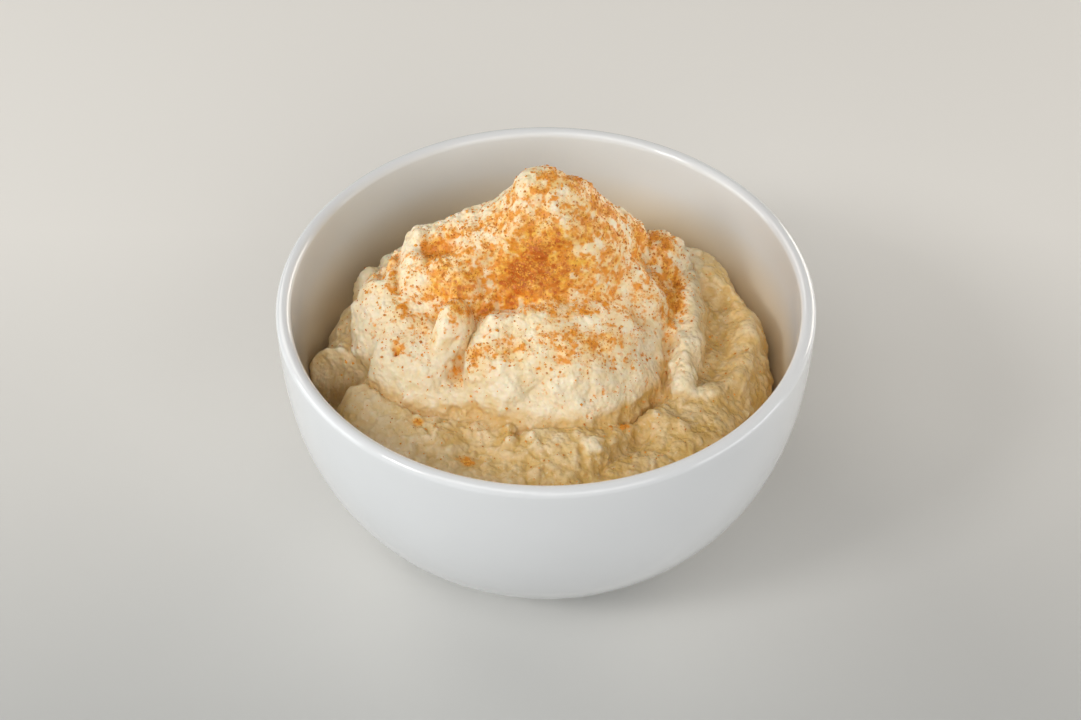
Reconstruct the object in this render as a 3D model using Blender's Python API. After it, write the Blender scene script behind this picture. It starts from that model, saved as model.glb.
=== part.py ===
"""Hummus heaped in a small white porcelain bowl.

The bowl is one turned solid. The hummus is one solid: a base layer that fills the bowl to below its
rim, with a spooned heap on top. Lengths are in metres, +Z is up, and the origin is on the surface that
the bowl stands on, at the bowl's axis.
"""

from math import cos, pi, radians, sin

import bpy
import numpy as np

MM = 0.001

# Bowl, in millimetres
RIM_RADIUS = 60.0
RIM_HEIGHT = 60.6
WALL_AT_RIM = 3.3
BODY_BASE_RADIUS = 34.0
BODY_BASE_HEIGHT = 2.5
INSIDE_FLOOR_RADIUS = 29.0
INSIDE_FLOOR_HEIGHT = 6.5
UNDERSIDE_HEIGHT = 3.4
FOOT_OUTER_RADIUS = 33.0
FOOT_INNER_RADIUS = 29.6
FOOT_EDGE = 0.5
SWELL_POWER = 2.74
FLARE_POWER = 1.5
BOWL_STEPS = 64
WALL_ROWS = 9
LIP_ROWS = 6

# Hummus, in millimetres
BASE_LEVEL = 42.5
BASE_TILT = 0.03
BASE_RADIUS = 51.0
EDGE_ROLL = 9.0
CONTACT_HEIGHT = 29.0
WALL_GAP = 0.6
TOP_RINGS = 66
HEAP_STEPS = 192
HEAP_TRIANGLES = 5900
BLEND = 1.6

# Each spooned dollop of the heap: centre x and y, half length, half width, turn in degrees, height of
# its top and of its foot, fullness of its shoulders, and how its top slopes along x and y
DOLLOPS = {
    "mound": (-2, 9, 37, 29, 0, 58, 38, 2.4, 0.0, 0.0),
    "left shoulder": (-19, 12.5, 24, 16, 8, 67.5, 46, 2.6, 0.38, 0.0),
    "left lobe": (-33, 3, 14, 11.5, 70, 57, 38, 3.4, 0.15, 0.3),
    "lower lobe": (-28.4, -8.6, 14.4, 9.8, -35, 52.8, 38, 4.5, 0.0, 0.33),
    "front lobe": (6, -7, 21.5, 19.5, -4, 60, 36, 2.6, -0.1, 0.36),
    "front corner": (-8, -12, 13, 11.5, 10, 57, 40, 3.4, 0.0, 0.42),
    "front foot": (2, -17, 18, 9, 3, 50, 36, 2.2, -0.02, 0.2),
    "right flank": (11.5, 3, 15.5, 10, 0, 62.5, 54, 4.0, -0.42, 0.75),
    "peak": (1, 13, 20, 17, 0, 81, 50, 1.7, 0.0, 0.0),
    "cap": (-1.0, 14, 6.2, 5.6, 0, 82.6, 75, 2.6, 0.05, 0.0),
    "peak shoulder": (6, 13, 6, 6, 0, 79.4, 73, 2.6, -0.1, 0.0),
    "back rise": (0, 24, 21, 15, 0, 69, 44, 2.0, 0.0, -0.5),
    "back lobe": (-8, 24, 27, 14, -8, 60, 42, 2.2, 0.0, -0.1),
    "back lump": (15.5, 21, 11, 8.5, -20, 64, 44, 2.2, -0.2, 0.0),
    "knob": (26.5, 20.5, 7, 8, 0, 57.8, 46, 1.8, 0.0, 0.0),
    "right fill": (24, 9, 7, 13, 0, 55.5, 44, 2.0, -0.1, 0.15),
    "right ridge": (31.4, 2, 20, 4.8, 85, 50.2, 40, 3.6, 0.05, 0.17),
    "right bank": (37, 25, 15, 7, -50, 47.5, 38, 2.4, 0.0, 0.0),
    "roll": (-20.8, -7.4, 7.4, 4.5, 70, 59.4, 49, 2.6, -0.05, 0.46),
    "tip of the lobes": (-20, -18, 7, 3.5, -15, 47.5, 40, 2.4, 0.0, 0.3),
    "left bank": (-43, 22, 6, 4, 62, 47.5, 40, 2.4, 0.0, 0.0),
    "front left bank": (-30, -24, 17, 10, -36, 43.2, 38, 2.2, 0.0, 0.05),
    "tongue": (2, -33, 17, 9, 8, 43.8, 38, 2.0, 0.0, 0.05),
}

# Each stroke of the spoon: how far it rises (or, below zero, digs in), its half width and its course
STROKES = {
    "dent under the peak": (-4.5, 3.6, ((-13, 1.5), (-9, 1), (-4, 0))),
    "lump in the dent": (2.4, 1.8, ((-5, -0.3), (-3, -0.6))),
    "groove over the lobe": (-1.1, 2.8, ((-4, -0.5), (4, -1.5), (10, -2), (17, -2), (23, -0.5))),
    "nick": (-5.4, 2.7, ((-26, 11.5), (-21.5, 10.5))),
    "crease under the lobe": (-0.9, 1.3, ((-42.5, -8.5), (-38.6, -12), (-34.4, -16.2))),
    "crease under the lobe's tip": (-1.7, 1.2, ((-31, -18.6), (-27, -20.4), (-21, -21.2), (-16.5, -20.6))),
    "nick channel": (-1.4, 2.0, ((-24, 10.5), (-26.5, 6.5), (-25, 2), (-22.5, 0))),
    "first fold": (-1.6, 1.2, ((-34, 15), (-33.3, 10), (-33, 4))),
    "second fold": (-1.5, 1.3, ((-37.5, 14), (-37, 9))),
    "gap beside the roll": (-2.6, 1.5, ((-15.2, -5.5), (-17.2, -9), (-19.4, -11.6))),
    "end of the gap": (-3.0, 1.9, ((-19.2, -11.6), (-20.2, -13))),
    "end of the roll": (-1.2, 1.2, ((-21, -15), (-23.6, -17.4))),
    "pit in the lobe": (-3.2, 1.0, ((-33, -9.8), (-33.1, -10.2))),
    "hollow by the flank": (-1.2, 2.5, ((20, 16), (26, 12), (29, 6), (29, 0))),
    "side groove": (-2.4, 1.8, ((27.6, -2), (27.8, -6), (26.8, -11), (24.3, -15))),
    "pocket": (-3.5, 2.2, ((18, -21.5), (22, -18), (25.5, -16.2))),
    "crumbly ridge": (0.9, 1.8, ((30.5, -4), (32, -9), (31.5, -14))),
    "crumbly bank": (1.5, 2.5, ((26, -17), (24, -22), (30, -24))),
    "front groove": (-1.8, 1.8, ((22, -24), (18.8, -28.5), (14, -32.5), (12, -36.5))),
    "front ridge": (1.6, 2.0, ((18, -24.5), (15, -28.5), (10.5, -32))),
    "small ridge": (1.4, 1.2, ((-8, -25), (-7.8, -29))),
    "small pit": (-2.0, 1.6, ((-6, -26), (-4.5, -26))),
    "wrinkle": (1.0, 1.0, ((-17, -25.5), (-13, -25.4))),
    "trough": (-1.7, 3.4, ((39, 13), (40.2, 6), (40, -2), (38, -8.5))),
    "end of the trough": (1.0, 1.4, ((31.5, -14.5), (36, -13.8), (40, -10))),
    "trough rim": (2.0, 2.0, ((44, 18), (46.8, 8), (46.6, -2), (43.5, -10), (38, -15))),
    "flick": (2.2, 1.3, ((-46.5, -2.2), (-53.4, -0.5))),
    "knob of the lobe": (2.2, 1.3, ((-34.8, 16.6), (-34.6, 12))),
    "second knob": (1.8, 1.3, ((-39, 15.5), (-38.8, 11))),
    "third knob": (1.4, 1.6, ((-29.5, 18), (-28.5, 14))),
}

# Where the base layer's outline leaves its mean radius: degrees round from +X, half width, reach
OUTLINE_CHANGES = {
    "flick on the left": (180.5, 2.4, 5.5),
    "hollow by the flick": (188.5, 5, -7.5),
    "back right": (38, 14, 2.5),
    "spike on the left": (150, 4, 2.5),
}

# Lumps of the paste: size and height of each, coarse to fine
LUMPS = ((12.0, 1.2), (6.5, 0.8))

PORCELAIN = ("porcelain", (0.83, 0.84, 0.85), 0.18)
HUMMUS = ("hummus", (0.84, 0.66, 0.40), 0.6)


def clear_scene():
    for thing in list(bpy.data.objects):
        bpy.data.objects.remove(thing, do_unlink=True)


def add_mesh(name, points, edges, faces, finish):
    """A new object from points in millimetres, with a material of its own."""
    mesh = bpy.data.meshes.new(name)
    mesh.from_pydata([tuple(float(v) * MM for v in point) for point in points], edges, faces)
    mesh.update()
    thing = bpy.data.objects.new(name, mesh)
    bpy.context.scene.collection.objects.link(thing)
    label, colour, roughness = finish
    material = bpy.data.materials.new(label)
    material.use_nodes = True
    shader = material.node_tree.nodes["Principled BSDF"]
    shader.inputs["Base Color"].default_value = (*colour, 1)
    shader.inputs["Roughness"].default_value = roughness
    shader.inputs["Metallic"].default_value = 0
    mesh.materials.append(material)
    return thing


# Bowl


def swelling(share):
    """How far a wall has come out, 0 to 1, at this share of its height."""
    return (1 - (1 - share) ** SWELL_POWER) ** (1 / FLARE_POWER)


def inside_radius(height):
    share = np.clip((height - INSIDE_FLOOR_HEIGHT) / (RIM_HEIGHT - INSIDE_FLOOR_HEIGHT), 0, 1)
    rim = RIM_RADIUS - WALL_AT_RIM
    return INSIDE_FLOOR_RADIUS + (rim - INSIDE_FLOOR_RADIUS) * swelling(share)


def inside_wall():
    """(radius, height) from the inside floor's edge up to just below the lip."""
    top = RIM_HEIGHT - WALL_AT_RIM / 2
    rows = [(i / WALL_ROWS) ** 1.5 for i in range(WALL_ROWS + 1)]
    heights = [INSIDE_FLOOR_HEIGHT + (top - INSIDE_FLOOR_HEIGHT) * row for row in rows]
    return [(float(inside_radius(height)), height) for height in heights]


def outside_wall():
    """(radius, height) from just below the lip down to the body's base."""
    top = RIM_HEIGHT - WALL_AT_RIM / 2
    points = []
    for i in range(WALL_ROWS, -1, -1):
        height = BODY_BASE_HEIGHT + (top - BODY_BASE_HEIGHT) * (i / WALL_ROWS) ** 1.5
        share = (height - BODY_BASE_HEIGHT) / (RIM_HEIGHT - BODY_BASE_HEIGHT)
        points.append((BODY_BASE_RADIUS + (RIM_RADIUS - BODY_BASE_RADIUS) * swelling(share), height))
    return points


def lip():
    """Points of the round lip, from its inside over its crest to its outside."""
    half = WALL_AT_RIM / 2
    turns = [pi * (1 - i / LIP_ROWS) for i in range(1, LIP_ROWS)]
    return [(RIM_RADIUS - half + half * cos(turn), RIM_HEIGHT - half + half * sin(turn)) for turn in turns]


def foot():
    """Points of the foot ring, from its outside under it to the recessed underside."""
    return [
        (FOOT_OUTER_RADIUS, BODY_BASE_HEIGHT - 2 * FOOT_EDGE),
        (FOOT_OUTER_RADIUS, FOOT_EDGE),
        (FOOT_OUTER_RADIUS - FOOT_EDGE, 0),
        (FOOT_INNER_RADIUS + FOOT_EDGE, 0),
        (FOOT_INNER_RADIUS, FOOT_EDGE),
        (FOOT_INNER_RADIUS - FOOT_EDGE, UNDERSIDE_HEIGHT),
    ]


def make_bowl():
    outline = [(0, INSIDE_FLOOR_HEIGHT), *inside_wall(), *lip(), *outside_wall(), *foot()]
    outline.append((0, UNDERSIDE_HEIGHT))
    points = [(radius, 0, height) for radius, height in outline]
    edges = [(i, i + 1) for i in range(len(points) - 1)]
    bowl = add_mesh("bowl", points, edges, [], PORCELAIN)
    turned = bowl.modifiers.new("Turned", "SCREW")
    turned.axis = "Z"
    turned.steps = BOWL_STEPS
    turned.render_steps = BOWL_STEPS
    turned.use_merge_vertices = True
    turned.merge_threshold = 0.0001
    turned.use_smooth_shade = True
    return bowl


# Hummus


def lattice(ix, iy, iz, seed):
    """A value from -1 to 1 for each whole-number place."""
    mixed = (ix * 374761393 + iy * 668265263 + iz * 1440662683 + seed * 2147483647) & 0xFFFFFFFF
    mixed = ((mixed ^ (mixed >> 13)) * 1274126177) & 0xFFFFFFFF
    return ((mixed ^ (mixed >> 16)) & 0xFFFF) / 32767.5 - 1


def noise(x, y, z, size, seed):
    """Smooth lumps of about this size, from -1 to 1."""
    lows, shares = [], []
    for value in (x, y, z):
        value = np.asarray(value, float) / size + 500.37
        low = np.floor(value).astype(np.int64)
        share = value - low
        lows.append(low)
        shares.append(share**3 * (share * (6 * share - 15) + 10))
    total = 0
    for corner in range(8):
        steps = (corner & 1, corner >> 1 & 1, corner >> 2)
        weight = 1
        for step, share in zip(steps, shares):
            weight = weight * (share if step else 1 - share)
        total = total + weight * lattice(*(low + step for low, step in zip(lows, steps)), seed)
    return total


def dollop(x, y, shape):
    """Height of one dollop: a leaning dome that drops away steeply outside its outline."""
    centre_x, centre_y, length, width, turn, top, base, fullness, lean_x, lean_y = shape
    dx, dy = x - centre_x, y - centre_y
    along, across = cos(radians(turn)), sin(radians(turn))
    share = np.hypot((dx * along + dy * across) / length, (dy * along - dx * across) / width)
    rise = (1 - np.minimum(share, 1) ** fullness) ** (1 / 1.9)
    drop = np.maximum(share - 1, 0) * min(length, width) * 1.6
    return base + (top - base) * rise - drop + lean_x * dx + lean_y * dy


def stroke(x, y, shape):
    """Height of one ridge or groove, which fades out to its sides."""
    height, half_width, course = shape
    away = np.full(np.shape(x), 1e9)
    for (ax, ay), (bx, by) in zip(course, course[1:]):
        ex, ey = bx - ax, by - ay
        share = np.clip(((x - ax) * ex + (y - ay) * ey) / (ex * ex + ey * ey), 0, 1)
        away = np.minimum(away, np.hypot(x - ax - share * ex, y - ay - share * ey))
    return height * np.exp(-1.2 * (away / half_width) ** 2)


def base_outline(angle):
    """Uneven radius of the base layer."""
    radius = BASE_RADIUS + 0.9 * np.sin(2 * angle + 0.6) + 0.7 * np.sin(5 * angle + 1.0)
    radius = radius + 0.35 * np.sin(9 * angle)
    for at, half_width, reach in OUTLINE_CHANGES.values():
        away = (np.degrees(angle) - at + 180) % 360 - 180
        radius = radius + reach * np.exp(-((away / half_width) ** 2))
    return radius


def heap_height(x, y):
    """Height of the hummus before its lumps."""
    height = BASE_LEVEL + BASE_TILT * y
    for shape in DOLLOPS.values():
        other = dollop(x, y, shape)
        height = 0.5 * (height + other + np.sqrt((height - other) ** 2 + BLEND**2))
    for shape in STROKES.values():
        height = height + stroke(x, y, shape)
    outline = base_outline(np.arctan2(y, x)) + 0.5 * noise(x, y, 0, 4, 9)
    inside = np.clip((outline - np.hypot(x, y)) / EDGE_ROLL, 0, 1)
    roll = (1 - (1 - inside) ** 2.4) ** 0.5
    return CONTACT_HEIGHT + (height - CONTACT_HEIGHT) * roll


def heap_surface(x, y):
    """The hummus's top: the heap's height, with lumps standing out at right angles to it."""
    step = 1.3
    slope_x = (heap_height(x + step, y) - heap_height(x - step, y)) / (2 * step)
    slope_y = (heap_height(x, y + step) - heap_height(x, y - step)) / (2 * step)
    up = 1 / np.sqrt(1 + slope_x**2 + slope_y**2)
    z = heap_height(x, y)
    out = sum(height * noise(x, y, z, size, 20 + i) for i, (size, height) in enumerate(LUMPS))
    return x - slope_x * up * out, y - slope_y * up * out, z + up * out


def top_rows():
    """Rings of points over the hummus's top, from near its middle out to the wall."""
    angle = np.arange(HEAP_STEPS) * 2 * pi / HEAP_STEPS
    reach = np.maximum(inside_radius(CONTACT_HEIGHT) - WALL_GAP, base_outline(angle) + 0.6)
    rows = []
    for ring in range(1, TOP_RINGS + 1):
        radius = reach * ring / TOP_RINGS
        x, y, z = heap_surface(radius * np.cos(angle), radius * np.sin(angle))
        # The lumps never push the paste into the wall
        kept = np.minimum(1, (inside_radius(z) - WALL_GAP) / np.hypot(x, y))
        rows.append(np.stack([x * kept, y * kept, z], -1))
    return rows


def buried_rows():
    """Rings of points down the bowl's inside, a gap clear of it."""
    angle = np.arange(HEAP_STEPS) * 2 * pi / HEAP_STEPS
    rows = []
    for wall_radius, height in reversed(inside_wall()):
        if height < CONTACT_HEIGHT - 2:
            radius = wall_radius - WALL_GAP
            level = np.full(HEAP_STEPS, height + WALL_GAP)
            rows.append(np.stack([radius * np.cos(angle), radius * np.sin(angle), level], -1))
    return rows


def make_hummus():
    rows = top_rows() + buried_rows()
    points = [np.concatenate(heap_surface(np.zeros(1), np.zeros(1)))]
    points += list(np.concatenate(rows))
    points.append((0, 0, INSIDE_FLOOR_HEIGHT + WALL_GAP))
    faces = [(0, 1 + k, 1 + (k + 1) % HEAP_STEPS) for k in range(HEAP_STEPS)]
    for row in range(len(rows) - 1):
        first, second = 1 + row * HEAP_STEPS, 1 + (row + 1) * HEAP_STEPS
        for k in range(HEAP_STEPS):
            after = (k + 1) % HEAP_STEPS
            faces.append((first + k, second + k, second + after, first + after))
    last, end = 1 + (len(rows) - 1) * HEAP_STEPS, len(points) - 1
    faces += [(last + k, end, last + (k + 1) % HEAP_STEPS) for k in range(HEAP_STEPS)]
    hummus = add_mesh("hummus", points, [], faces, HUMMUS)
    hummus.data.shade_smooth()
    triangles = sum(len(face) - 2 for face in faces)
    fewer = hummus.modifiers.new("Fewer", "DECIMATE")
    fewer.ratio = HEAP_TRIANGLES / triangles
    return hummus


clear_scene()
make_bowl()
make_hummus()
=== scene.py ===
"""Looks of a bowl of hummus: glazed porcelain, grainy chickpea paste and ground paprika.

The frame gives the bowl's rim. Lengths below are in millimetres in the frame's own axes, and become
metres when a mesh is made. The hummus repeats the dollops and strokes of the part, and adds finer
relief to them.
"""

from math import cos, pi, radians, sin

import bpy
import numpy as np
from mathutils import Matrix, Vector


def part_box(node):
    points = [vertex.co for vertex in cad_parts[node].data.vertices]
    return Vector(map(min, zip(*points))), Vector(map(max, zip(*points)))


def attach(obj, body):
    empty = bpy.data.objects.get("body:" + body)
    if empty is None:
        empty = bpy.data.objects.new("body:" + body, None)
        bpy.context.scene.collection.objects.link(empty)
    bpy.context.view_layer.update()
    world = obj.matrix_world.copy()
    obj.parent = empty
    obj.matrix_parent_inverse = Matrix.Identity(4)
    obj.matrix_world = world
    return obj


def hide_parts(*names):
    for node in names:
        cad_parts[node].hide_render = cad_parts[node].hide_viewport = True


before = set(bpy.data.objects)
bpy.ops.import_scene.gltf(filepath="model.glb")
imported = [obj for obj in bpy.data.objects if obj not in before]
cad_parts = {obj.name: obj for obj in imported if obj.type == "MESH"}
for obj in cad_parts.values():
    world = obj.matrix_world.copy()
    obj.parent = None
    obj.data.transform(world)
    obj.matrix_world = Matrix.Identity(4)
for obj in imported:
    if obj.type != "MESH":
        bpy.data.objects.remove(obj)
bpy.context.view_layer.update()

MM = 0.001

# Bowl
RIM_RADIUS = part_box("bowl")[1].x / MM
RIM_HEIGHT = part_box("bowl")[1].z / MM
WALL_AT_RIM = 3.3
BODY_BASE_RADIUS = 34.0
BODY_BASE_HEIGHT = 2.5
INSIDE_FLOOR_RADIUS = 29.0
INSIDE_FLOOR_HEIGHT = 6.5
UNDERSIDE_HEIGHT = 3.4
FOOT_OUTER_RADIUS = 33.0
FOOT_INNER_RADIUS = 29.6
FOOT_EDGE = 0.5
SWELL_POWER = 2.74
FLARE_POWER = 1.5
BOWL_STEPS = 256
FLOOR_ROWS = 6
WALL_ROWS = 48
WALL_CROWDING = 1.5
LIP_ROWS = 20
NEAR_AXIS = 0.01

# Hummus: its base layer, which rolls down at the edge to where it meets the bowl
BASE_LEVEL = 42.5
BASE_TILT = 0.03
BASE_RADIUS = 51.0
EDGE_ROLL = 9.0
CONTACT_HEIGHT = 29.0
UNDER_EDGE_HEIGHT = CONTACT_HEIGHT - 4
OUTLINE_MARGIN = 0.6
FLOOR_GAP = 0.6
WALL_GAP = 0.35
EDGE_WAVER = 0.5
EDGE_ROUNDNESS = 2.4

# How widely dollops blend, how round their shoulders are and how steeply they drop, and how fast a stroke
# fades out to its sides
BLEND = 1.6
DOME_ROUNDNESS = 1.9
DROP_SLOPE = 1.6
STROKE_FADE = 1.2

# Hummus mesh: rings of its first disc, and how its points are evened out. Below HIDDEN_BELOW the edge is
# out of sight, so its slope counts for only a share there
COARSE_RINGS = 43
EVENING_ROUNDS = 20
SETTLING_STEPS = 10
EVENING_POWER = 1.2
HIDDEN_BELOW = 40.0
HIDDEN_SHARE = 0.2

# How far to each side the heap's slope and its hollows are measured
SLOPE_REACH = 1.3
HOLLOW_REACH = 2.2

# Each spooned dollop of the heap: centre x and y, half length, half width, turn in degrees, height of
# its top and of its foot, fullness of its shoulders, and how its top slopes along x and y
DOLLOPS = {
    "mound": (-2, 9, 37, 29, 0, 58, 38, 2.4, 0.0, 0.0),
    "left shoulder": (-19, 12.5, 24, 16, 8, 67.5, 46, 2.6, 0.38, 0.0),
    "left lobe": (-33, 3, 14, 11.5, 70, 57, 38, 3.4, 0.15, 0.3),
    "lower lobe": (-28.4, -8.6, 14.4, 9.8, -35, 52.8, 38, 4.5, 0.0, 0.33),
    "front lobe": (6, -7, 21.5, 19.5, -4, 60, 36, 2.6, -0.1, 0.36),
    "front corner": (-8, -12, 13, 11.5, 10, 57, 40, 3.4, 0.0, 0.42),
    "front foot": (2, -17, 18, 9, 3, 50, 36, 2.2, -0.02, 0.2),
    "right flank": (11.5, 3, 15.5, 10, 0, 62.5, 54, 4.0, -0.42, 0.75),
    "peak": (1, 13, 20, 17, 0, 81, 50, 1.7, 0.0, 0.0),
    "cap": (-1.0, 14, 6.2, 5.6, 0, 82.6, 75, 2.6, 0.05, 0.0),
    "peak shoulder": (6, 13, 6, 6, 0, 79.4, 73, 2.6, -0.1, 0.0),
    "back rise": (0, 24, 21, 15, 0, 69, 44, 2.0, 0.0, -0.5),
    "back lobe": (-8, 24, 27, 14, -8, 60, 42, 2.2, 0.0, -0.1),
    "back lump": (15.5, 21, 11, 8.5, -20, 64, 44, 2.2, -0.2, 0.0),
    "knob": (26.5, 20.5, 7, 8, 0, 57.8, 46, 1.8, 0.0, 0.0),
    "right fill": (24, 9, 7, 13, 0, 55.5, 44, 2.0, -0.1, 0.15),
    "right ridge": (31.4, 2, 20, 4.8, 85, 50.2, 40, 3.6, 0.05, 0.17),
    "right bank": (37, 25, 15, 7, -50, 47.5, 38, 2.4, 0.0, 0.0),
    "roll": (-20.8, -7.4, 7.4, 4.5, 70, 59.4, 49, 2.6, -0.05, 0.46),
    "tip of the lobes": (-20, -18, 7, 3.5, -15, 47.5, 40, 2.4, 0.0, 0.3),
    "left bank": (-43, 22, 6, 4, 62, 47.5, 40, 2.4, 0.0, 0.0),
    "front left bank": (-30, -24, 17, 10, -36, 43.2, 38, 2.2, 0.0, 0.05),
    "tongue": (2, -33, 17, 9, 8, 43.8, 38, 2.0, 0.0, 0.05),
}

# Each stroke of the spoon: how far it rises (or, below zero, digs in), its half width and its course
STROKES = {
    "dent under the peak": (-4.5, 3.6, ((-13, 1.5), (-9, 1), (-4, 0))),
    "lump in the dent": (2.4, 1.8, ((-5, -0.3), (-3, -0.6))),
    "groove over the lobe": (-1.1, 2.8, ((-4, -0.5), (4, -1.5), (10, -2), (17, -2), (23, -0.5))),
    "nick": (-5.4, 2.7, ((-26, 11.5), (-21.5, 10.5))),
    "crease under the lobe": (-0.9, 1.3, ((-42.5, -8.5), (-38.6, -12), (-34.4, -16.2))),
    "crease under the lobe's tip": (-1.7, 1.2, ((-31, -18.6), (-27, -20.4), (-21, -21.2), (-16.5, -20.6))),
    "nick channel": (-1.4, 2.0, ((-24, 10.5), (-26.5, 6.5), (-25, 2), (-22.5, 0))),
    "first fold": (-1.6, 1.2, ((-34, 15), (-33.3, 10), (-33, 4))),
    "second fold": (-1.5, 1.3, ((-37.5, 14), (-37, 9))),
    "gap beside the roll": (-2.6, 1.5, ((-15.2, -5.5), (-17.2, -9), (-19.4, -11.6))),
    "end of the gap": (-3.0, 1.9, ((-19.2, -11.6), (-20.2, -13))),
    "end of the roll": (-1.2, 1.2, ((-21, -15), (-23.6, -17.4))),
    "pit in the lobe": (-3.2, 1.0, ((-33, -9.8), (-33.1, -10.2))),
    "hollow by the flank": (-1.2, 2.5, ((20, 16), (26, 12), (29, 6), (29, 0))),
    "side groove": (-2.4, 1.8, ((27.6, -2), (27.8, -6), (26.8, -11), (24.3, -15))),
    "pocket": (-3.5, 2.2, ((18, -21.5), (22, -18), (25.5, -16.2))),
    "crumbly ridge": (0.9, 1.8, ((30.5, -4), (32, -9), (31.5, -14))),
    "crumbly bank": (1.5, 2.5, ((26, -17), (24, -22), (30, -24))),
    "front groove": (-1.8, 1.8, ((22, -24), (18.8, -28.5), (14, -32.5), (12, -36.5))),
    "front ridge": (1.6, 2.0, ((18, -24.5), (15, -28.5), (10.5, -32))),
    "small ridge": (1.4, 1.2, ((-8, -25), (-7.8, -29))),
    "small pit": (-2.0, 1.6, ((-6, -26), (-4.5, -26))),
    "wrinkle": (1.0, 1.0, ((-17, -25.5), (-13, -25.4))),
    "trough": (-1.7, 3.4, ((39, 13), (40.2, 6), (40, -2), (38, -8.5))),
    "end of the trough": (1.0, 1.4, ((31.5, -14.5), (36, -13.8), (40, -10))),
    "trough rim": (2.0, 2.0, ((44, 18), (46.8, 8), (46.6, -2), (43.5, -10), (38, -15))),
    "flick": (2.2, 1.3, ((-46.5, -2.2), (-53.4, -0.5))),
    "knob of the lobe": (2.2, 1.3, ((-34.8, 16.6), (-34.6, 12))),
    "second knob": (1.8, 1.3, ((-39, 15.5), (-38.8, 11))),
    "third knob": (1.4, 1.6, ((-29.5, 18), (-28.5, 14))),
}

# Waves of the base layer's outline: how far each swings, how often round, and its turn in radians
OUTLINE_WAVES = ((0.9, 2, 0.6), (0.7, 5, 1.0), (0.35, 9, 0.0))

# Where the base layer's outline leaves its mean radius: degrees round from +X, half width, reach
OUTLINE_CHANGES = {
    "flick on the left": (180.5, 2.4, 5.5),
    "hollow by the flick": (188.5, 5, -7.5),
    "back right": (38, 14, 2.5),
    "spike on the left": (150, 4, 2.5),
}

# Patches that the spoon has smoothed: centre x and y, reach along x and y
SMOOTHED = (
    (8, -11, 15, 10),
    (-31, -7, 10, 7),
    (-30, 3, 9, 8),
    (17, 4, 8, 9),
    (40, 1, 5, 12),
    (-11, 12, 6, 6),
)

# Patches where the paste has crumbled: centre x and y, reach along x and y
CRUMBLED = (
    (31, -9, 3, 8),
    (26, -20, 7, 4),
    (16, -31, 8, 5),
    (-8, -29, 12, 5),
    (35, 22, 9, 5),
    (22, 24, 9, 6),
    (-29, -27, 14, 7),
    (47, 2, 4, 14),
    (-36, 18, 8, 4),
    (-24, 17, 10, 5),
    (-48, 4, 5, 8),
)

# Patches at the right, in the heap's shade, where painted shade gives the paste the base's deeper colour:
# centre x and y, reach along x and y
RIGHT_SHADE_PATCHES = ((41, 1, 4.5, 13), (44, 8, 10, 36))

# Lumps of the paste: size and height of each, coarse to fine
LUMPS = ((12.0, 1.2), (6.5, 0.8), (3.2, 0.45))

# How strongly the crumbs show: on plain paste, less where smoothed, more where crumbled, and by chance
PLAIN_ROUGHNESS = 0.9
LESS_SMOOTHED = 0.45
MORE_CRUMBLED = 0.25
ROUGHNESS_SWING = 0.5

# Crumbs of the paste: size, height, share by which each is higher where it has crumbled, and seed
CRUMBS = ((2.3, 0.8, -0.2, 50), (1.35, 0.8, 0.3, 55), (0.85, 0.2, 0.4, 65))
CRUMB_MEAN = 0.45

# Grains that make up a size of crumb, in cells of that size: how far each stands from its cell's middle,
# its mean height and how that swings, the square of its reach and how sharply two grains part
GRAIN_SHIFT = 0.45
GRAIN_HEIGHT = 0.6
GRAIN_HEIGHT_SWING = 0.4
GRAIN_REACH_SQUARED = 0.72
GRAIN_HARDNESS = 3.5

# Unevenness between the crumbs: size, height and seed
GRIT = (1.7, 0.25, 31)

# Paprika: centre x and y, reach along x and y, how thick it lies
DUSTINGS = (
    (-1.5, 11, 12, 10, 0.14),
    (-3, 6, 2.2, 5, 0.16),
    (8, 8, 20, 13, 0.11),
    (-6.5, 0.6, 4.5, 2.2, 0.7),
    (-8.5, -0.6, 6.5, 2.2, 0.6),
    (1, 0.6, 8, 2.2, 0.5),
    (2, 13, 5, 2, 0.15),
    (12, 4, 13, 9, 0.1),
    (8, -9, 10, 8, 0.3),
    (-14, 2, 5, 5, 0.22),
    (-13, -14, 8, 3, 0.36),
    (-16, 9, 9, 7, 0.14),
    (-24.5, 11, 4, 3, 0.5),
    (-25, 4, 3, 7, 0.36),
    (-20, -3, 3.5, 5, 0.42),
    (-32, 0, 8, 9, 0.15),
    (-36, 11, 4, 5, 0.35),
    (25, 17, 4, 6, 0.65),
    (29, 8, 2.5, 8, 0.5),
    (16, 14, 9, 8, 0.26),
    (0, 0, 46, 40, 0.04),
    (-33, -10, 1.2, 1.2, 0.4),
    (-17.5, -33.5, 1.6, 1.0, 0.8),
    (-28, -23.5, 1.0, 0.8, 0.7),
    (17, -24.5, 1.6, 1.1, 0.6),
)

# The paprika lies thicker between the crumbs than on them
DUST_BETWEEN = 1.3
DUST_LESS_RAISED = 0.6
MOST_DUST = 1.5
LEAST_DUST = 0.004

# Clumps in the paprika: size, weight and seed of each, and what they make of its thickness
CLUMPS = ((6.0, 0.6, 60), (2.4, 0.9, 61), (1.2, 0.6, 62))
CLUMP_MEAN = 0.98
CLUMP_SWING = 0.85
CLUMP_LIMITS = (0.1, 2.2)

# What noise has to pass to stain the paste where the paprika is 1 thick, and how fast that rises where
# it lies thinner
STAIN_LEVEL = 0.42
STAIN_RISE = 0.085

# Loose flakes: how many, seed, and the middle, spread and limits of their half widths
FLAKES = 9000
FLAKE_SEED = 7
FLAKE_SIZE = 0.18
FLAKE_SPREAD = 0.45
FLAKE_LIMITS = (0.08, 0.46)

# Each flake's half thickness and its height over the paste, as shares of its half width, and its tilt
FLAKE_FLATNESS = 0.45
FLAKE_LIFT = 0.25
FLAKE_TILT = 0.35

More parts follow.
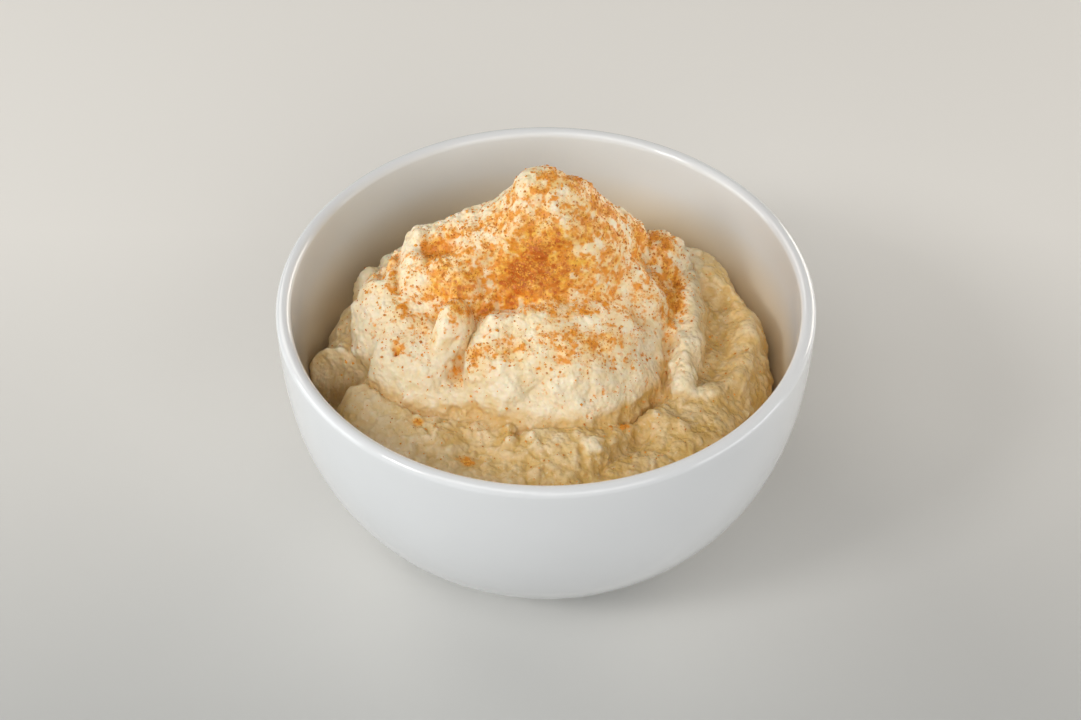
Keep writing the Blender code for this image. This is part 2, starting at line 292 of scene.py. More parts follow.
# How a place's paprika makes flakes likely there, and the few that fall anywhere above a height
FLAKE_POWER = 1.1
STRAY_FLAKES = 0.003
FLAKES_FROM = CONTACT_HEIGHT + 3

# The paste's base is deeper in colour below this height, which is greater at the front and wavers. The
# deeper colour is partly the base's own and partly painted shade, so it is less on the lit left
LOW_LEVEL = 45.2
LOW_FRONT_RISE = 1.3
LOW_WAVER = 0.9
LOW_FADE = 2.0
LOW_SHARE_LEFT = 0.6
LOW_SHARE_MORE = 0.4
LOW_SHARE_WAVER = 0.3
SHADE_PATCH_SHARE = 0.9

# Painted warm bounce light from the hummus on the bowl's inside, which fades out upward
BOUNCE_PAINT_TOP = 50.0
BOUNCE_PAINT_FADE = 14.0
BOUNCE_PAINT_SHARE = 0.8

# Colours of the painted warm bounce light, the paste with its painted shade and highlights, its paprika and
# the porcelain
WARM_BOUNCE_PAINT = (0.76, 0.61, 0.37)
CREAM = (0.92, 0.77, 0.53)
DEEP_CREAM = (0.87, 0.69, 0.38)
LOW_CREAM_AND_SHADE = (0.71, 0.46, 0.145)
CREASE_PAINTED_SHADE = (0.76, 0.52, 0.20)
HOLLOW_PAINTED_SHADE = (0.70, 0.46, 0.18)
PALE_GRAIN_AND_HIGHLIGHT = (0.95, 0.85, 0.65)
WASH = (0.95, 0.52, 0.08)
STAIN = (0.82, 0.32, 0.03)
DARK_STAIN = (0.58, 0.14, 0.01)
LIGHT_FLAKE = (0.85, 0.38, 0.045)
DARK_FLAKE = (0.52, 0.16, 0.013)
WHITE_GLAZE = (0.77, 0.78, 0.79)
DULL_GLAZE = (0.75, 0.76, 0.77)


# Meshes


def add_piece(name, points, faces, material, body="root"):
    """A smooth-shaded mesh from points in millimetres, riding on a body of the frame."""
    mesh = bpy.data.meshes.new(name)
    points = np.asarray(points, np.float32) * MM
    faces = np.asarray(faces, np.int32)
    corners = faces.shape[1]
    mesh.vertices.add(len(points))
    mesh.vertices.foreach_set("co", points.ravel())
    mesh.loops.add(faces.size)
    mesh.loops.foreach_set("vertex_index", faces.ravel())
    mesh.polygons.add(len(faces))
    mesh.polygons.foreach_set("loop_start", np.arange(0, faces.size, corners, dtype=np.int32))
    mesh.update(calc_edges=True)
    mesh.validate()
    mesh.shade_smooth()
    mesh.materials.append(material)
    piece = bpy.data.objects.new(name, mesh)
    bpy.context.scene.collection.objects.link(piece)
    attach(piece, body)
    return piece


# Bowl


def swelling(share):
    """How far a wall has come out, 0 to 1, at this share of its height."""
    return (1 - (1 - share) ** SWELL_POWER) ** (1 / FLARE_POWER)


def inside_radius(height):
    """Radius of the bowl's inside wall at a height."""
    share = np.clip((height - INSIDE_FLOOR_HEIGHT) / (RIM_HEIGHT - INSIDE_FLOOR_HEIGHT), 0, 1)
    rim = RIM_RADIUS - WALL_AT_RIM
    return INSIDE_FLOOR_RADIUS + (rim - INSIDE_FLOOR_RADIUS) * swelling(share)


def bowl_outline():
    """(radius, height) from the inside floor's middle, over the lip, to the underside's middle."""
    half = WALL_AT_RIM / 2
    top = RIM_HEIGHT - half
    shares = (np.arange(WALL_ROWS + 1) / WALL_ROWS) ** WALL_CROWDING
    inner = INSIDE_FLOOR_HEIGHT + (top - INSIDE_FLOOR_HEIGHT) * shares
    outer = BODY_BASE_HEIGHT + (top - BODY_BASE_HEIGHT) * shares[::-1]
    body = (outer - BODY_BASE_HEIGHT) / (RIM_HEIGHT - BODY_BASE_HEIGHT)
    outer_radius = BODY_BASE_RADIUS + (RIM_RADIUS - BODY_BASE_RADIUS) * swelling(body)
    turns = pi * (1 - np.arange(1, LIP_ROWS) / LIP_ROWS)
    floor_radii = np.linspace(NEAR_AXIS, INSIDE_FLOOR_RADIUS - 1, FLOOR_ROWS)
    outline = [(radius, INSIDE_FLOOR_HEIGHT) for radius in floor_radii]
    outline += list(zip(inside_radius(inner), inner))
    outline += [(RIM_RADIUS - half + half * cos(turn), top + half * sin(turn)) for turn in turns]
    outline += list(zip(outer_radius, outer))
    outline += [
        (FOOT_OUTER_RADIUS, BODY_BASE_HEIGHT - 2 * FOOT_EDGE),
        (FOOT_OUTER_RADIUS, FOOT_EDGE),
        (FOOT_OUTER_RADIUS - 0.3 * FOOT_EDGE, 0.3 * FOOT_EDGE),
        (FOOT_OUTER_RADIUS - FOOT_EDGE, 0),
        (FOOT_INNER_RADIUS + FOOT_EDGE, 0),
        (FOOT_INNER_RADIUS, FOOT_EDGE),
        (FOOT_INNER_RADIUS - FOOT_EDGE, UNDERSIDE_HEIGHT),
        (NEAR_AXIS, UNDERSIDE_HEIGHT),
    ]
    return outline


def turned(outline, steps):
    """Points and faces of an outline turned round the Z axis, with its ends almost on the axis."""
    angle = np.arange(steps) * 2 * pi / steps
    rows = [np.stack([r * np.cos(angle), r * np.sin(angle), np.full(steps, z)], -1) for r, z in outline]
    around = np.arange(steps)
    after = (around + 1) % steps
    faces = []
    for row in range(len(outline) - 1):
        low, high = row * steps, (row + 1) * steps
        faces.append(np.stack([low + around, low + after, high + after, high + around], -1))
    return np.concatenate(rows), np.concatenate(faces)


# Noise

# Moves the noise's cells off the object's middle
NOISE_OFFSET = 500.37


def lattice(ix, iy, iz, seed):
    """A value from -1 to 1 for each whole-number place."""
    mixed = (ix * 374761393 + iy * 668265263 + iz * 1440662683 + seed * 2147483647) & 0xFFFFFFFF
    mixed = ((mixed ^ (mixed >> 13)) * 1274126177) & 0xFFFFFFFF
    return ((mixed ^ (mixed >> 16)) & 0xFFFF) / 32767.5 - 1


def noise(x, y, z, size, seed):
    """Smooth lumps of about this size, from -1 to 1."""
    lows, shares = [], []
    for value in (x, y, z):
        value = np.asarray(value, float) / size + NOISE_OFFSET
        low = np.floor(value).astype(np.int64)
        share = value - low
        lows.append(low)
        shares.append(share**3 * (share * (6 * share - 15) + 10))
    total = 0
    for corner in range(8):
        steps = (corner & 1, corner >> 1 & 1, corner >> 2)
        weight = 1
        for step, share in zip(steps, shares):
            weight = weight * (share if step else 1 - share)
        total = total + weight * lattice(*(low + step for low, step in zip(lows, steps)), seed)
    return total


def grains(x, y, z, size, seed):
    """Packed round grains of about this size, highest at each grain's middle and blended between.

    They stand in cells that are turned and bent, so that no row of grains shows.
    """
    x = x + 0.5 * size * noise(x, y, z, 3 * size, seed + 7)
    y = y + 0.5 * size * noise(x, y, z, 3 * size, seed + 8)
    turned_places = (0.8 * x - 0.6 * y, 0.48 * x + 0.64 * y - 0.6 * z, 0.36 * x + 0.48 * y + 0.8 * z)
    places = [np.asarray(value, float) / size + NOISE_OFFSET for value in turned_places]
    lows = [np.floor(place).astype(np.int64) for place in places]
    packed = np.zeros(np.shape(places[0]))
    for corner in range(27):
        cell = [low + corner // 3**axis % 3 - 1 for axis, low in enumerate(lows)]
        away = 0
        for axis, place in enumerate(places):
            centre = cell[axis] + 0.5 + GRAIN_SHIFT * lattice(*cell, seed + axis)
            away = away + (place - centre) ** 2
        height = GRAIN_HEIGHT + GRAIN_HEIGHT_SWING * lattice(*cell, seed + 3)
        packed = packed + np.exp(GRAIN_HARDNESS * height * (1 - away / GRAIN_REACH_SQUARED))
    return np.log(packed) / GRAIN_HARDNESS


# Hummus


def dollop(x, y, shape):
    """Height of one dollop: a leaning dome that drops away steeply outside its outline."""
    centre_x, centre_y, length, width, turn, top, base, fullness, lean_x, lean_y = shape
    dx, dy = x - centre_x, y - centre_y
    along, across = cos(radians(turn)), sin(radians(turn))
    share = np.hypot((dx * along + dy * across) / length, (dy * along - dx * across) / width)
    rise = (1 - np.minimum(share, 1) ** fullness) ** (1 / DOME_ROUNDNESS)
    drop = np.maximum(share - 1, 0) * min(length, width) * DROP_SLOPE
    return base + (top - base) * rise - drop + lean_x * dx + lean_y * dy


def stroke(x, y, shape):
    """Height of one ridge or groove, which fades out to its sides."""
    height, half_width, course = shape
    away = np.full(np.shape(x), 1e9)
    for (ax, ay), (bx, by) in zip(course, course[1:]):
        ex, ey = bx - ax, by - ay
        share = np.clip(((x - ax) * ex + (y - ay) * ey) / (ex * ex + ey * ey), 0, 1)
        away = np.minimum(away, np.hypot(x - ax - share * ex, y - ay - share * ey))
    return height * np.exp(-STROKE_FADE * (away / half_width) ** 2)


def base_outline(angle):
    """Uneven radius of the base layer."""
    radius = BASE_RADIUS
    for swing, times, turn in OUTLINE_WAVES:
        radius = radius + swing * np.sin(times * angle + turn)
    for at, half_width, reach in OUTLINE_CHANGES.values():
        away = (np.degrees(angle) - at + 180) % 360 - 180
        radius = radius + reach * np.exp(-((away / half_width) ** 2))
    return radius


def heap_height(x, y):
    """Height of the hummus before its lumps."""
    height = BASE_LEVEL + BASE_TILT * y
    for shape in DOLLOPS.values():
        other = dollop(x, y, shape)
        height = 0.5 * (height + other + np.sqrt((height - other) ** 2 + BLEND**2))
    for shape in STROKES.values():
        height = height + stroke(x, y, shape)
    outline = base_outline(np.arctan2(y, x)) + EDGE_WAVER * noise(x, y, 0, 4, 9)
    inside = np.clip((outline - np.hypot(x, y)) / EDGE_ROLL, 0, 1)
    roll = (1 - (1 - inside) ** EDGE_ROUNDNESS) ** 0.5
    return CONTACT_HEIGHT + (height - CONTACT_HEIGHT) * roll


def covered(x, y, patches):
    """1 inside any of the patches, falling to 0 around them."""
    most = 0
    for centre_x, centre_y, reach_x, reach_y in patches:
        most = np.maximum(most, np.exp(-(((x - centre_x) / reach_x) ** 4) - ((y - centre_y) / reach_y) ** 4))
    return most


def heap_surface(x, y):
    """The hummus's top, with lumps and crumbs standing out at right angles to it.

    Beside the points come how far the crumbs raise each and how hollow the heap is there.
    """
    step = SLOPE_REACH
    slope_x = (heap_height(x + step, y) - heap_height(x - step, y)) / (2 * step)
    slope_y = (heap_height(x, y + step) - heap_height(x, y - step)) / (2 * step)
    up = 1 / np.sqrt(1 + slope_x**2 + slope_y**2)
    z = heap_height(x, y)
    out = sum(height * noise(x, y, z, size, 20 + i) for i, (size, height) in enumerate(LUMPS))
    crumbled = covered(x, y, CRUMBLED)
    rough = PLAIN_ROUGHNESS - LESS_SMOOTHED * covered(x, y, SMOOTHED) + MORE_CRUMBLED * crumbled
    rough = rough * (1 + ROUGHNESS_SWING * noise(x, y, z, 5, 40))
    crumbs = 0
    for size, height, share, seed in CRUMBS:
        grain = grains(x, y, z, size, seed) - CRUMB_MEAN
        crumbs = crumbs + height * (1 + share * crumbled) * grain
    grit_size, grit_height, grit_seed = GRIT
    out = out + rough * (crumbs + grit_height * noise(x, y, z, grit_size, grit_seed))
    raised = 0.5 + crumbs / sum(height for _, height, _, _ in CRUMBS)
    around = 0
    for turn in np.arange(8) * pi / 4:
        around = around + heap_height(x + HOLLOW_REACH * cos(turn), y + HOLLOW_REACH * sin(turn))
    hollow = around / 8 - z
    return x - slope_x * up * out, y - slope_y * up * out, z + up * out, raised, hollow


def ring_places(rings):
    """Sector and two steps along its sides of each point of a disc of triangles, ring by ring."""
    sector, along, across = [np.zeros(1, int)], [np.zeros(1, int)], [np.zeros(1, int)]
    for ring in range(1, rings + 1):
        around = np.arange(6 * ring)
        sector.append(around // ring)
        along.append(ring - around % ring)
        across.append(around % ring)
    return np.concatenate(sector), np.concatenate(along), np.concatenate(across)


def place_index(sector, along, across):
    """Index of the point of a disc of triangles with this sector and these steps."""
    ring = along + across
    around = (sector * ring + across) % np.maximum(6 * ring, 1)
    return np.where(ring == 0, 0, 1 + 3 * ring * (ring - 1) + around)


def disc_triangles(rings):
    """Triangles between the points of a disc."""
    sector, along, across = np.meshgrid(np.arange(6), np.arange(rings), np.arange(rings), indexing="ij")
    triangles = []
    for corners, room in ((((0, 0), (1, 0), (0, 1)), 1), (((1, 0), (1, 1), (0, 1)), 2)):
        kept = along + across <= rings - room
        cell = sector[kept], along[kept], across[kept]
        triangles.append(
            np.stack([place_index(cell[0], cell[1] + a, cell[2] + b) for a, b in corners], -1)
        )
    return np.concatenate(triangles)


def evened(x, y, rings):
    """Points of a disc moved apart or together, so that steep places get as many as flat ones."""
    triangles = disc_triangles(rings)
    ends = np.concatenate([triangles[:, [0, 1]], triangles[:, [1, 2]], triangles[:, [2, 0]]])
    start, end = ends.T
    inner = np.arange(len(x)) < len(x) - 6 * rings
    for _ in range(EVENING_ROUNDS):
        z = heap_height(x, y)
        z = np.where(z < HIDDEN_BELOW, HIDDEN_BELOW + HIDDEN_SHARE * (z - HIDDEN_BELOW), z)
        flat = np.maximum(np.hypot(x[start] - x[end], y[start] - y[end]), 1e-6)
        pull = (np.hypot(flat, z[start] - z[end]) / flat) ** EVENING_POWER
        total = np.bincount(start, pull, len(x)) + np.bincount(end, pull, len(x))
        for _ in range(SETTLING_STEPS):
            moved = []
            for value in (x, y):
                sums = np.bincount(start, pull * value[end], len(x))
                sums = sums + np.bincount(end, pull * value[start], len(x))
                moved.append(np.where(inner, sums / total, value))
            x, y = moved
    return x, y


def finer(values, rings):
    """Values for a disc with twice the rings, the new ones halfway between the old."""
    sector, along, across = ring_places(2 * rings)
    first = place_index(sector, (along + 1) // 2, across // 2)
    second = place_index(sector, along // 2, (across + 1) // 2)
    return [(value[first] + value[second]) / 2 for value in values]


def hummus_mesh():
    """The hummus, closed below by rings inside the bowl.

    These are its points and triangles, and how far each point is raised by crumbs and lies in a hollow.
    """
    sector, along, across = ring_places(COARSE_RINGS)
    ring = along + across
    angle = (sector + across / np.maximum(ring, 1)) * pi / 3
    reach = np.maximum(inside_radius(CONTACT_HEIGHT) - WALL_GAP, base_outline(angle) + OUTLINE_MARGIN)
    reach = reach * ring / COARSE_RINGS
    x, y = evened(reach * np.cos(angle), reach * np.sin(angle), COARSE_RINGS)
    x, y = evened(*finer((x, y), COARSE_RINGS), 2 * COARSE_RINGS)
    x, y, z, raised, hollow = heap_surface(*finer((x, y), 2 * COARSE_RINGS))
    rings = 4 * COARSE_RINGS
    kept = np.minimum(1, (inside_radius(z) - WALL_GAP) / np.maximum(np.hypot(x, y), 1e-6))
    top = np.stack([x * kept, y * kept, z], -1)
    faces = [disc_triangles(rings)]
    ring = len(top) - 6 * rings + np.arange(6 * rings)
    turn = np.arctan2(top[ring, 1], top[ring, 0])
    points = [top]
    start = len(top)
    floor = INSIDE_FLOOR_HEIGHT + FLOOR_GAP
    heights = [*np.linspace(UNDER_EDGE_HEIGHT, floor, 4), floor]
    radii = [inside_radius(height) - WALL_GAP for height in heights[:-1]] + [NEAR_AXIS]
    for radius, height in zip(radii, heights):
        level = np.full(len(turn), height)
        points.append(np.stack([radius * np.cos(turn), radius * np.sin(turn), level], -1))
        below = start + np.arange(len(ring))
        after, after_below = np.roll(ring, -1), np.roll(below, -1)
        faces += [np.stack([ring, below, after_below], -1), np.stack([ring, after_below, after], -1)]
        ring, start = below, start + len(below)
    points = np.concatenate(points)
    buried = np.zeros(len(points) - len(top))
    return points, np.concatenate(faces), np.append(raised, buried), np.append(hollow, buried)


def dusting(x, y, z):
    """How thick the paprika lies, from 0 to about 1, in patches and clumps."""
    thick = 0
    for centre_x, centre_y, reach_x, reach_y, weight in DUSTINGS:
        away = ((x - centre_x) / reach_x) ** 2 + ((y - centre_y) / reach_y) ** 2
        thick = thick + weight * np.exp(-away)
    patchy = sum(weight * noise(x, y, z, size, seed) for size, weight, seed in CLUMPS)
    return thick * np.clip(CLUMP_MEAN + CLUMP_SWING * patchy, *CLUMP_LIMITS)


def low_share(x, y, z):
    """How far each place of the hummus has the deeper colour of its base, from 0 to 1: partly its own colour
    and partly painted shade, less on the lit left and full in the shaded patches at the right.
    """
    level = LOW_LEVEL + LOW_FRONT_RISE * np.clip((-12 - y) / 8, 0, 1) + LOW_WAVER * noise(x, y, z, 4, 71)
    low = np.clip((level - z) / LOW_FADE, 0, 1)
    low = low * (LOW_SHARE_LEFT + LOW_SHARE_MORE * np.clip((x + 30) / 30, 0, 1))
    low = low * (1 + LOW_SHARE_WAVER * noise(x, y, z, 6, 70))
    # Painted shade in the patches at the right
    return np.maximum(low, SHADE_PATCH_SHARE * covered(x, y, RIGHT_SHADE_PATCHES))


def bareness(dust):
    """What noise has to pass to stain the paste: less where the paprika lies thicker."""
    return STAIN_LEVEL - STAIN_RISE * np.log(np.maximum(dust, LEAST_DUST))


# Materials


def new_material(name, roughness, colour=(0.8, 0.8, 0.8)):
    """A material with its node tree and shader."""
    material = bpy.data.materials.new(name)
    material.use_nodes = True
    shader = material.node_tree.nodes["Principled BSDF"]
    shader.inputs["Base Color"].default_value = (*colour, 1)
    shader.inputs["Roughness"].default_value = roughness
    return material, material.node_tree, shader


def add_node(tree, kind, **settings):
    """A node whose settings are its inputs or properties by name."""
    node = tree.nodes.new(kind)
    for name, value in settings.items():
        if name in node.inputs:
            node.inputs[name].default_value = value
        else:
            setattr(node, name, value)
    return node


def mix_colour(tree, share, first, second):
    """The first colour where the share is 0, turning to the second where it is 1."""
    node = add_node(tree, "ShaderNodeMix", data_type="RGBA")
    for socket, value in ((0, share), (6, first), (7, second)):
        if isinstance(value, bpy.types.NodeSocket):
            tree.links.new(value, node.inputs[socket])
        else:
            node.inputs[socket].default_value = (*value, 1) if isinstance(value, tuple) else value
    return node.outputs[2]


def ramp(tree, value, low, high):
    """0 where a value is low, rising to 1 where it is high."""
    node = add_node(tree, "ShaderNodeMapRange")
    node.inputs["From Min"].default_value = low
    node.inputs["From Max"].default_value = high
    tree.links.new(value, node.inputs["Value"])
    return node.outputs["Result"]


def calculate(tree, operation, *values):
    """Output of a Math node that works on sockets or numbers."""
    node = add_node(tree, "ShaderNodeMath", operation=operation)
    for socket, value in zip(node.inputs, values):
        if isinstance(value, bpy.types.NodeSocket):
            tree.links.new(value, socket)
        else:
            socket.default_value = value
    return node.outputs[0]


def noise_node(tree, place, scale, detail):
    """Output of a Noise node at the object's own places."""
    node = add_node(tree, "ShaderNodeTexNoise", Scale=scale, Detail=detail)
    tree.links.new(place, node.inputs["Vector"])
    return node.outputs["Fac"]


def attribute(tree, name):
    """Value that the mesh stores at its points under a name."""
    return add_node(tree, "ShaderNodeAttribute", attribute_name=name).outputs["Fac"]


def voronoi_node(tree, place, scale, **settings):
    """A Voronoi node at the object's own places."""
    node = add_node(tree, "ShaderNodeTexVoronoi", Scale=scale, **settings)
    tree.links.new(place, node.inputs["Vector"])
    return node


def paprika_specks(tree, place, paprika):
    """Round specks, each of its own size and bigger where the paprika lies thicker."""
    spots = voronoi_node(tree, place, 1000.0)
    luck = add_node(tree, "ShaderNodeSeparateXYZ")
    tree.links.new(spots.outputs["Color"], luck.inputs[0])
    spread = calculate(tree, "MULTIPLY_ADD", luck.outputs["X"], 1.5, -0.1)
    spread = calculate(tree, "MULTIPLY", spread, paprika)
    return calculate(tree, "SUBTRACT", spread, spots.outputs["Distance"])


def add_bump(tree, shader, relief, strength, depth):
    """Relief finer than the mesh, of a depth in metres."""
    bump = add_node(tree, "ShaderNodeBump", Strength=strength, Distance=depth)
    tree.links.new(relief, bump.inputs["Height"])
    tree.links.new(bump.outputs["Normal"], shader.inputs["Normal"])


def hummus_material():
    """Cream paste with painted shade in its hollows and between its crumbs, a base deeper in colour partly
    by painted shade, pale grains and painted highlights on crumb tops, and stains of paprika.
    """
    material, tree, shader = new_material("hummus_paste", 0.44)
    place = add_node(tree, "ShaderNodeTexCoord").outputs["Object"]
    broad = noise_node(tree, place, 110, 3)
    fine = noise_node(tree, place, 900, 3)
    pale = noise_node(tree, place, 900, 2)
    low, raised, hollow, paprika, bare = (
        attribute(tree, name) for name in ("low", "raised", "hollow", "paprika", "bare")
    )
    stained = calculate(tree, "SUBTRACT", noise_node(tree, place, 620, 3), bare)
    deep = calculate(tree, "MULTIPLY", paprika, noise_node(tree, place, 400, 3))
    specks = paprika_specks(tree, place, paprika)
    # Each coat over the first cream: the value that shows it, where it starts, where it is full, its colour
    coats = (
        (broad, 0.38, 0.66, DEEP_CREAM),
        # Painted shade between the crumbs
        (raised, 0.35, 0.0, CREASE_PAINTED_SHADE),
        # Paler crumb tops: partly the paste's pale grains, partly painted highlight
        (raised, 0.5, 1.05, PALE_GRAIN_AND_HIGHLIGHT),
        # Deeper colour of the base: partly its own, partly painted shade
        (low, 0.0, 1.0, LOW_CREAM_AND_SHADE),
        # Painted highlight on the highest crumb tops, partly pale grains
        (raised, 0.6, 1.5, PALE_GRAIN_AND_HIGHLIGHT),
        # Painted shade in the heap's hollows
        (hollow, 0.3, 3.2, HOLLOW_PAINTED_SHADE),
        # Pale grains at random, the paste's own colour
        (pale, 0.6, 1.0, PALE_GRAIN_AND_HIGHLIGHT),
        (paprika, 0.03, 0.55, WASH),
        (stained, -0.05, 0.08, STAIN),
        (deep, 0.36, 0.75, DARK_STAIN),
        (specks, -0.1, 0.7, DARK_STAIN),
    )
    colour = CREAM
    for value, start, full, coat in coats:
        colour = mix_colour(tree, ramp(tree, value, start, full), colour, coat)
    tree.links.new(colour, shader.inputs["Base Color"])
    shader.inputs["Subsurface Weight"].default_value = 0.3
    shader.inputs["Subsurface Radius"].default_value = (1.0, 0.6, 0.3)
    shader.inputs["Subsurface Scale"].default_value = 0.001
    shader.inputs["Specular IOR Level"].default_value = 0.5
    crumb = voronoi_node(tree, place, 950.0, feature="SMOOTH_F1", Smoothness=0.5)
    add_bump(tree, shader, calculate(tree, "SUBTRACT", fine, crumb.outputs["Distance"]), 0.7, 0.0004)
    return material


def porcelain_material():
    """White glaze, a little wavy, with painted warm bounce light from the hummus where the mesh says so."""
    material, tree, shader = new_material("porcelain_glaze", 0.12, WHITE_GLAZE)
    place = add_node(tree, "ShaderNodeTexCoord").outputs["Object"]
    wave = noise_node(tree, place, 40, 2)
    colour = mix_colour(tree, ramp(tree, wave, 0.3, 0.7), WHITE_GLAZE, DULL_GLAZE)
    colour = mix_colour(tree, attribute(tree, "bounce_paint"), colour, WARM_BOUNCE_PAINT)
    tree.links.new(colour, shader.inputs["Base Color"])
    shader.inputs["Specular IOR Level"].default_value = 0.5
    add_bump(tree, shader, wave, 0.15, 0.0003)
    return material


def paprika_material():
    """Ground paprika, from orange flakes to dark red ones."""
    material, tree, shader = new_material("paprika_flake", 0.7)
    colour = mix_colour(tree, attribute(tree, "shade"), LIGHT_FLAKE, DARK_FLAKE)
    tree.links.new(colour, shader.inputs["Base Color"])
    return material


def store(piece, name, values):
    """A value for each point of a piece, for its material to read."""
    stored = piece.data.attributes.new(name, "FLOAT", "POINT")
    stored.data.foreach_set("value", np.asarray(values, np.float32))


# Paprika


def scatter_flakes(hummus, count, seed):
    """Points and triangles of ground flakes that lie on the hummus where it is dusted."""
    random = np.random.default_rng(seed)
    mesh = hummus.data
    places = np.empty(len(mesh.vertices) * 3, np.float32)
    mesh.vertices.foreach_get("co", places)
    places = places.reshape(-1, 3) / MM
    mesh.calc_loop_triangles()
    indices = np.empty(len(mesh.loop_triangles) * 3, np.int32)
    mesh.loop_triangles.foreach_get("vertices", indices)
    triangle = places[indices.reshape(-1, 3)]
    across = np.cross(triangle[:, 1] - triangle[:, 0], triangle[:, 2] - triangle[:, 0])
    middle = triangle.mean(1)
    weight = np.maximum(across[:, 2], 0) * (dusting(*middle.T) ** FLAKE_POWER + STRAY_FLAKES)
    weight[middle[:, 2] < FLAKES_FROM] = 0
    chosen = random.choice(len(weight), count, p=weight / weight.sum())
    share = random.random((count, 2))
    share = np.where(share.sum(1, keepdims=True) > 1, 1 - share, share)
    corners = triangle[chosen]
    at = corners[:, 0] + share[:, :1] * (corners[:, 1] - corners[:, 0])
    at = at + share[:, 1:] * (corners[:, 2] - corners[:, 0])
    normal = across[chosen] / np.linalg.norm(across[chosen], axis=1, keepdims=True)
    normal = normal + FLAKE_TILT * random.normal(size=(count, 3))
    normal /= np.linalg.norm(normal, axis=1, keepdims=True)
    side = np.cross(normal, random.normal(size=(count, 3)))
    side /= np.linalg.norm(side, axis=1, keepdims=True)
    other = np.cross(normal, side)
    size = np.clip(random.lognormal(np.log(FLAKE_SIZE), FLAKE_SPREAD, count), *FLAKE_LIMITS)
    shape = np.array([(1, 0, 0), (0, 1, 0), (-1, 0, 0), (0, -1, 0), (0, 0, 1), (0, 0, -1)], float)
    points = []
    for x, y, z in shape:
        jitter = 0.7 + 0.6 * random.random((count, 3))
        points.append(
            at
            + size[:, None] * (side * x * jitter[:, :1] + other * y * 0.8 * jitter[:, 1:2])
            + size[:, None] * FLAKE_FLATNESS * normal * z * jitter[:, 2:]
            + FLAKE_LIFT * size[:, None] * normal
        )
    points = np.stack(points, 1).reshape(-1, 3)
    order = [(0, 1, 4), (1, 2, 4), (2, 3, 4), (3, 0, 4), (1, 0, 5), (2, 1, 5), (3, 2, 5), (0, 3, 5)]
    faces = (np.array(order)[None] + 6 * np.arange(count)[:, None, None]).reshape(-1, 3)
    shade = np.repeat(random.random(count) ** 1.6, 6)
    return points, faces, shade


# The object

bowl_points, bowl_faces = turned(bowl_outline(), BOWL_STEPS)
bowl = add_piece("bowl_glazed", bowl_points, bowl_faces, porcelain_material())
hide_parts("bowl")
on_inside = np.hypot(bowl_points[:, 0], bowl_points[:, 1]) < inside_radius(bowl_points[:, 2]) + 0.5
# Painted warm bounce light: the bowl's inside is tinted warmer low down, near the hummus
bounce_paint = BOUNCE_PAINT_SHARE * np.clip((BOUNCE_PAINT_TOP - bowl_points[:, 2]) / BOUNCE_PAINT_FADE, 0, 1)
store(bowl, "bounce_paint", np.where(on_inside, bounce_paint, 0))

hummus_points, hummus_faces, hummus_raised, hummus_hollow = hummus_mesh()
hummus = add_piece("hummus_paste", hummus_points, hummus_faces, hummus_material())
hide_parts("hummus")
hummus_dust = dusting(*hummus_points.T) * (DUST_BETWEEN - DUST_LESS_RAISED * hummus_raised)
store(hummus, "paprika", np.clip(hummus_dust, 0, MOST_DUST))
store(hummus, "bare", bareness(hummus_dust))
store(hummus, "low", low_share(*hummus_points.T))
store(hummus, "raised", np.clip(hummus_raised, 0, 1))
# How hollow each place is, which the material turns into painted shade
store(hummus, "hollow", np.clip(hummus_hollow, -2, 2))

flake_points, flake_faces, flake_shade = scatter_flakes(hummus, FLAKES, FLAKE_SEED)
flakes = add_piece("paprika_flakes", flake_points, flake_faces, paprika_material())
flakes.data.shade_flat()
store(flakes, "shade", flake_shade)


# Stage, light and camera

CAMERA_ELEVATION = radians(44.64)
CAMERA_DISTANCE = 0.4823
CAMERA_TARGET = Vector((-0.0012, 0, 0.0395))
CAMERA_LENS = 70
SENSOR_WIDTH = 36
LIGHT_AIM = Vector((0, 0, 0.04))
LIGHT_DISTANCE = 1.6
FLOOR_REACH = 3.0
# Floor colour near the camera, darkened by painted shade, and far from it
SHADED_NEAR_FLOOR = (0.35, 0.365, 0.365)
FAR_FLOOR = (0.82, 0.80, 0.765)

# Each light of the room: name, degrees round from +X and up from the table, width and height in metres,
# power in watts and colour
LIGHTS = (
    ("window", 212, 38, (0.35, 0.35), 7.0, (1.0, 0.99, 0.97)),
    ("high_front", 240, 56, (0.8, 0.8), 6.5, (1.0, 0.99, 0.97)),
    ("left_low", 182, 12, (1.0, 0.6), 8.5, (0.95, 0.99, 1.0)),
    ("back_left", 135, 32, (0.8, 0.8), 6.0, (1.0, 0.96, 0.89)),
    ("front", 288, 36, (1.2, 0.8), 8.5, (1.0, 0.99, 0.97)),
    ("front_low", 228, 9, (1.3, 0.4), 2.4, (0.88, 0.95, 1.0)),
    ("right_back", 45, 12, (1.0, 0.6), 12.0, (1.0, 0.93, 0.83)),
    ("right_low", 345, 8, (1.2, 0.3), 7.3, (0.98, 0.99, 1.0)),
)


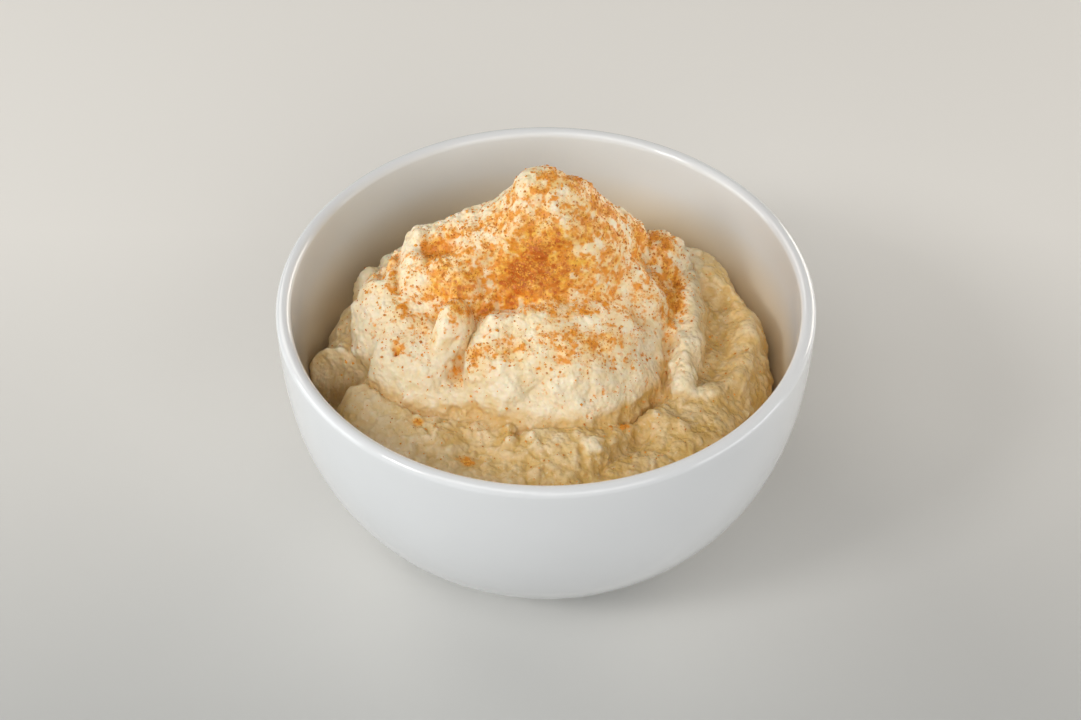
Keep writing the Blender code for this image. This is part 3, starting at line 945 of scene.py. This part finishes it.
def make_stage():
    """A pale table top, with painted shade that darkens it toward the camera."""
    mesh = bpy.data.meshes.new("floor")
    corners = [(x * FLOOR_REACH, y * FLOOR_REACH, 0) for x, y in ((-1, -1), (1, -1), (1, 1), (-1, 1))]
    mesh.from_pydata(corners, [], [(0, 1, 2, 3)])
    material, tree, shader = new_material("pale_floor", 0.5)
    place = add_node(tree, "ShaderNodeTexCoord").outputs["Object"]
    apart = add_node(tree, "ShaderNodeSeparateXYZ")
    tree.links.new(place, apart.inputs[0])
    colour = mix_colour(tree, ramp(tree, apart.outputs["Y"], -0.18, 0.09), SHADED_NEAR_FLOOR, FAR_FLOOR)
    tree.links.new(colour, shader.inputs["Base Color"])
    mesh.materials.append(material)
    floor = bpy.data.objects.new("floor", mesh)
    bpy.context.scene.collection.objects.link(floor)


def add_light(name, turn, rise, size, power, colour):
    """A rectangular light that faces the bowl."""
    data = bpy.data.lights.new(name, "AREA")
    data.shape = "RECTANGLE"
    data.size, data.size_y = size
    data.energy = power
    data.color = colour
    light = bpy.data.objects.new(name, data)
    turn, rise = radians(turn), radians(rise)
    toward = Vector((cos(rise) * cos(turn), cos(rise) * sin(turn), sin(rise)))
    light.location = LIGHT_AIM + LIGHT_DISTANCE * toward
    light.rotation_euler = toward.to_track_quat("Z", "Y").to_euler()
    bpy.context.scene.collection.objects.link(light)


def make_camera():
    """A camera in front of the bowl that looks down on it."""
    data = bpy.data.cameras.new("camera")
    data.lens = CAMERA_LENS
    data.sensor_width = SENSOR_WIDTH
    camera = bpy.data.objects.new("camera", data)
    back = Vector((0, -cos(CAMERA_ELEVATION), sin(CAMERA_ELEVATION)))
    camera.location = CAMERA_TARGET + back * CAMERA_DISTANCE
    camera.rotation_euler = (pi / 2 - CAMERA_ELEVATION, 0, 0)
    bpy.context.scene.collection.objects.link(camera)
    bpy.context.scene.camera = camera


make_stage()
make_camera()
for name, turn, rise, size, power, colour in LIGHTS:
    add_light(name, turn, rise, size, power, colour)

WORLD_COLOUR = (0.93, 0.9, 0.86, 1)
WORLD_STRENGTH = 0.03

world = bpy.data.worlds.new("soft_room")
world.use_nodes = True
background = world.node_tree.nodes["Background"]
background.inputs["Color"].default_value = WORLD_COLOUR
background.inputs["Strength"].default_value = WORLD_STRENGTH
bpy.context.scene.world = world
bpy.context.scene.view_settings.view_transform = "Standard"
